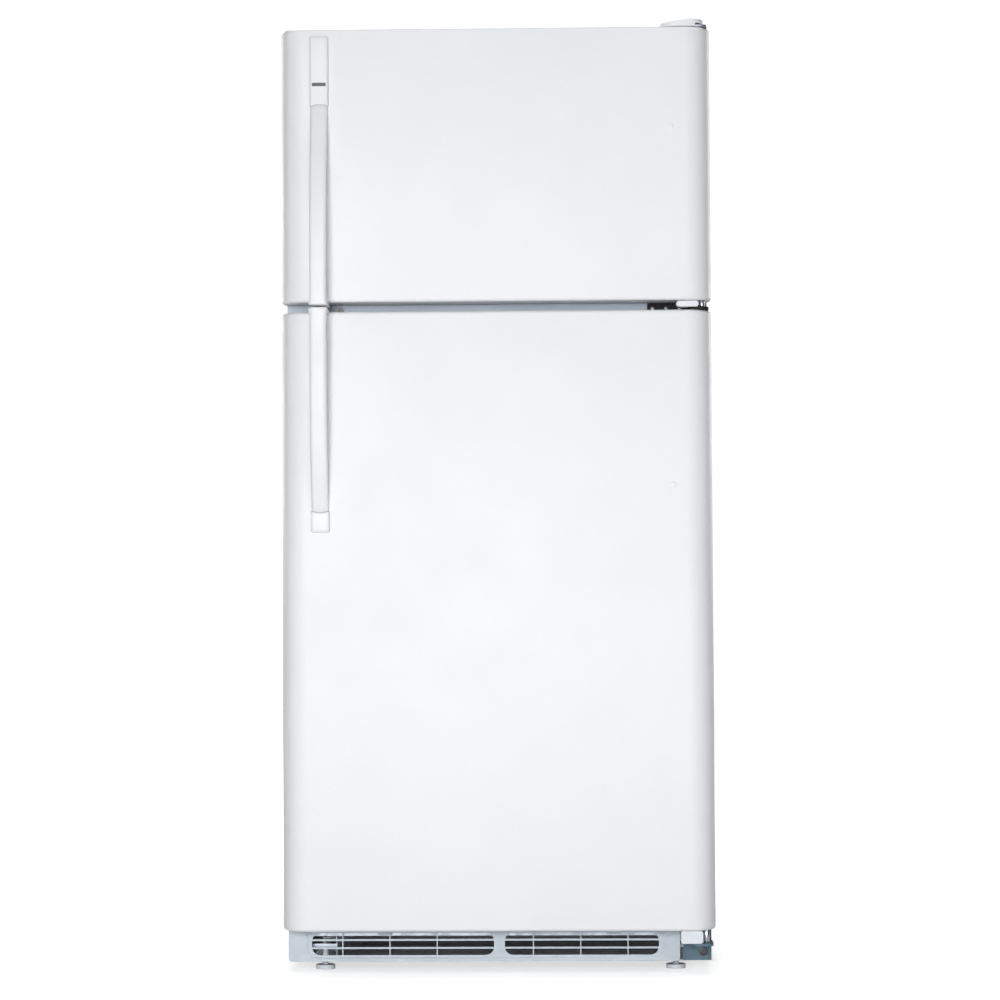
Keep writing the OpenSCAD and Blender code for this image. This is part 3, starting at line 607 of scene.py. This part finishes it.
def hinge_details():
    """Screws of the centre hinge, bright pin sleeves and the bracket's folded edges."""
    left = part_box("center_hinge")[0].x
    for i in range(3):
        at = (left + (10 + 24 * i) * MM, plate_front, (gap_low + gap_high) / 2)
        screw(f"center_hinge_screw_{i}", at, FRONT, CABINET)
    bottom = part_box("fridge_door_skin")[0].z
    for name, top, length in (("center", gap_high, 11 * MM), ("bottom", bottom, 22.4 * MM)):
        profile = [(5.2 * MM, 0), (5.4 * MM, 0.3 * MM), (5.4 * MM, length - 0.3 * MM),
                   (5.2 * MM, length)]
        foot = (pin_x, pin_y, top - 0.4 * MM - length)
        place(name + "_hinge_sleeve", revolve(profile, foot, UP, name), CABINET,
              "galvanised_steel", CHROME)
    # A dark disc stands for the depth of the bracket's hole.
    dome("bracket_hole_shade", (357 * MM, shell_low.y - 0.1 * MM, 34 * MM), FRONT, 8.2 * MM,
         0.6 * MM, CABINET, "black_steel", DARK)
    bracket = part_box("bottom_hinge")[0]
    for i, x in enumerate((bracket.x + 3 * MM, shell_high.x - 4 * MM)):
        ends = [(x, plate_front, bracket.z + rise * MM) for rise in (2, 28, 54)]
        tube(f"bottom_hinge_fold_{i}", ends, 1.3 * MM, CABINET, "galvanised_steel", BRACKET)


def cabinet_details():
    """Plugs over the spare hinge holes, and the screws and beads of the back."""
    spots = [(x, depth) for x in (-306, -350) for depth in (24, 56)]
    for i, (x, depth) in enumerate(spots):
        at = (x * MM, shell_low.y + depth * MM, shell_high.z)
        dome(f"top_plug_{i}", at, UP, 5 * MM, 1.2 * MM, CABINET, "white_plastic")
    low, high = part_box("back_panel")
    rows = 6
    for side, word in ((-1, "left"), (1, "right")):
        for i in range(rows):
            z = low.z + 30 * MM + (high.z - low.z - 50 * MM) * i / (rows - 1)
            at = (side * (high.x - 10 * MM), high.y, z)
            screw(f"back_screw_{word}_{i}", at, BACK, CABINET, 3.8 * MM, 2 * MM)
        path = [(side * 190 * MM, high.y - 2.6 * MM, z)
                for z in (low.z + 90 * MM, (low.z + high.z) / 2, high.z - 110 * MM)]
        tube(f"back_bead_{word}", path, 5 * MM, CABINET, "galvanised_steel")
    cover_low, cover_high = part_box("rear_access_cover")
    for i, x in enumerate((-0.95, -0.32, 0.32, 0.95)):
        for j, z in enumerate((cover_low.z + 12 * MM, cover_high.z - 12 * MM)):
            at = (x * cover_high.x, high.y, z)
            screw(f"rear_cover_screw_{i}_{j}", at, BACK, CABINET, 4 * MM, 2 * MM)
    # Dark discs are painted shade for the rail's punched holes: across, height and radius.
    for i, (x, z, radius) in enumerate(((-303, 54, 6), (-294, 58, 2.4), (-292, 35, 2.6))):
        at = (x * MM, shell_low.y + 13.9 * MM, z * MM)
        dome(f"rail_hole_shade_{i}", at, FRONT, radius * MM, 0.4 * MM, CABINET, "black_steel",
             DARK)


def interior_details():
    """The lamp in its shield, and growing dots round the two knobs."""
    low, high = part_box("lamp_shield")
    base = Vector((0, low.y + 12 * MM, (low.z + high.z) / 2))
    glass = [(6, 10), (6, 18), (8, 24), (12, 34), (13.5, 44), (12.5, 53), (8, 60), (3, 63),
             (0.1, 63.5)]
    mesh = revolve([(r * MM, h * MM) for r, h in glass], base, BACK, "lamp_bulb")
    place("lamp_bulb", mesh, CABINET, "lamp_plastic", BULB)
    socket = [(9, 0), (10, 1), (10, 11), (8, 12)]
    mesh = revolve([(r * MM, h * MM) for r, h in socket], base, BACK, "lamp_socket")
    place("lamp_socket", mesh, CABINET, "white_plastic")
    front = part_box("control_housing")[0].y
    dots = 7
    for knob in ("fridge_knob", "freezer_knob"):
        low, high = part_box(knob)
        middle = (low + high) / 2
        for i in range(dots):
            a = math.radians(215 - 250 * i / (dots - 1))
            at = (middle.x + 24 * MM * math.cos(a), front, middle.z + 24 * MM * math.sin(a))
            if at[2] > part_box("control_housing")[0].z + 3 * MM:
                dome(f"{knob}_dot_{i}", at, FRONT, (0.7 + 0.16 * i) * MM, 0.3 * MM, CABINET,
                     "grey_plastic", DARK)


hinge_details()
cabinet_details()
interior_details()

# ------------------------------------------------------- floor, light, camera

FLOOR_GLOW = 0.62
COOL = (0.84, 0.91, 1.0)
ROOM_LEVEL = 0.03
BACKDROP_LEVEL = 1.1


def area_light(name, at, aim, size, power, colour=(1, 1, 1)):
    light = bpy.data.lights.new(name, "AREA")
    light.shape = "RECTANGLE"
    light.size, light.size_y = size
    light.energy = power
    light.color = colour
    holder = bpy.data.objects.new(name, light)
    holder.location = at
    holder.rotation_euler = (Vector(aim) - Vector(at)).to_track_quat("-Z", "Y").to_euler()
    holder.visible_camera = False
    bpy.context.scene.collection.objects.link(holder)
    return holder


def stage_floor(half):
    """A white paper floor that glows a little more with distance, so no horizon shows."""
    mesh = bpy.data.meshes.new("floor")
    mesh.from_pydata([(-half, -half, 0), (half, -half, 0), (half, half, 0), (-half, half, 0)],
                     [], [(0, 1, 2, 3)])
    floor = bpy.data.objects.new("floor", mesh)
    bpy.context.scene.collection.objects.link(floor)
    n = Nodes("floor_paper")
    n.colour(n.remap(n.noise(0.8), 0.3, 0.7, 0.0, 1.0), (0.86, 0.86, 0.86), (0.84, 0.84, 0.84))
    reach = n.add("ShaderNodeVectorMath", operation="LENGTH")
    n.link(n.coords, reach.inputs[0])
    glow = n.remap(reach.outputs["Value"], 0.6, 2.2, FLOOR_GLOW, 1.0)
    place_on_floor = n.add("ShaderNodeSeparateXYZ")
    n.link(n.coords, place_on_floor.inputs[0])
    front, back = shell_low.y + 0.15, shell_high.y
    beside = n.maths("ABSOLUTE", place_on_floor.outputs["X"], 0.0)
    along = n.maths("SUBTRACT", place_on_floor.outputs["Y"], (front + back) / 2)
    outside = n.maths("MAXIMUM", n.maths("SUBTRACT", beside, shell_high.x),
                      n.maths("SUBTRACT", n.maths("ABSOLUTE", along, 0.0), (back - front) / 2))
    glow = n.maths("MULTIPLY", glow, n.remap(outside, -0.02, 0.02, 0.0, 1.0))
    seen = n.add("ShaderNodeLightPath").outputs["Is Camera Ray"]
    n.link(n.maths("MULTIPLY", glow, seen), n.shader.inputs["Emission Strength"])
    mesh.materials.append(n.set(Roughness=0.9, Emission_Color=(1, 1, 1, 1),
                                Specular_IOR_Level=0.1))


def studio():
    """A white backdrop for the eye, a dim grey room for the light, and soft boxes."""
    world = bpy.data.worlds.new("studio")
    bpy.context.scene.world = world
    world.use_nodes = True
    tree = world.node_tree
    background = tree.nodes["Background"]
    path = tree.nodes.new("ShaderNodeLightPath")
    level = tree.nodes.new("ShaderNodeMapRange")
    level.inputs["To Min"].default_value = ROOM_LEVEL
    level.inputs["To Max"].default_value = BACKDROP_LEVEL
    tree.links.new(path.outputs["Is Camera Ray"], level.inputs["Value"])
    tree.links.new(level.outputs["Result"], background.inputs["Strength"])
    background.inputs["Color"].default_value = (1.0, 1.0, 1.0, 1)
    middle = (0, -0.3, 0.85)
    area_light("front_box", (-0.7, -7.2, 1.25), middle, (2.2, 2.4), 258)
    area_light("low_fill", (0, -2.0, 0.5), (0, -0.3, 0.2), (2.2, 0.2), 6.0)
    area_light("left_strip", (-6.0, -1.75, 2.6), middle, (0.4, 1.6), 15, COOL)
    area_light("right_strip", (4.3, -4.65, 2.9), middle, (0.4, 1.3), 20, COOL)
    area_light("top_front", (0, -2.2, 4.0), (0, -0.3, 1.4), (2.0, 1.0), 16)
    area_light("top_box", (0, 0.9, 4.2), (0, 0.4, 1.0), (3.0, 3.0), 52)
    for side, name in ((-1, "rear_left"), (1, "rear_right")):
        area_light(name, (side * 4.0, 4.5, 2.0), (0, 0.3, 0.9), (1.8, 2.4), 115)


stage_floor(12.0)
studio()


def camera():
    """Eye, turn, tilt and roll of the view, 5 m in front of the doors."""
    eye = Vector((0.125, skin_low.y - 5.0, 0.664))
    turn, tilt, roll = math.radians(-1.363), math.radians(1.849), math.radians(-0.302)
    forward = Vector((math.sin(turn) * math.cos(tilt), math.cos(turn) * math.cos(tilt),
                      math.sin(tilt)))
    level = Vector((math.cos(turn), -math.sin(turn), 0))
    upright = level.cross(forward)
    right = level * math.cos(roll) + upright * math.sin(roll)
    up = upright * math.cos(roll) - level * math.sin(roll)
    lens = bpy.data.cameras.new("camera")
    lens.sensor_width = 36.0
    lens.lens = 103.5
    holder = bpy.data.objects.new("camera", lens)
    pose = Matrix((right, up, -forward)).transposed().to_4x4()
    pose.translation = eye
    holder.matrix_world = pose
    bpy.context.scene.collection.objects.link(holder)
    bpy.context.scene.camera = holder


camera()
bpy.context.scene.view_settings.view_transform = "Standard"
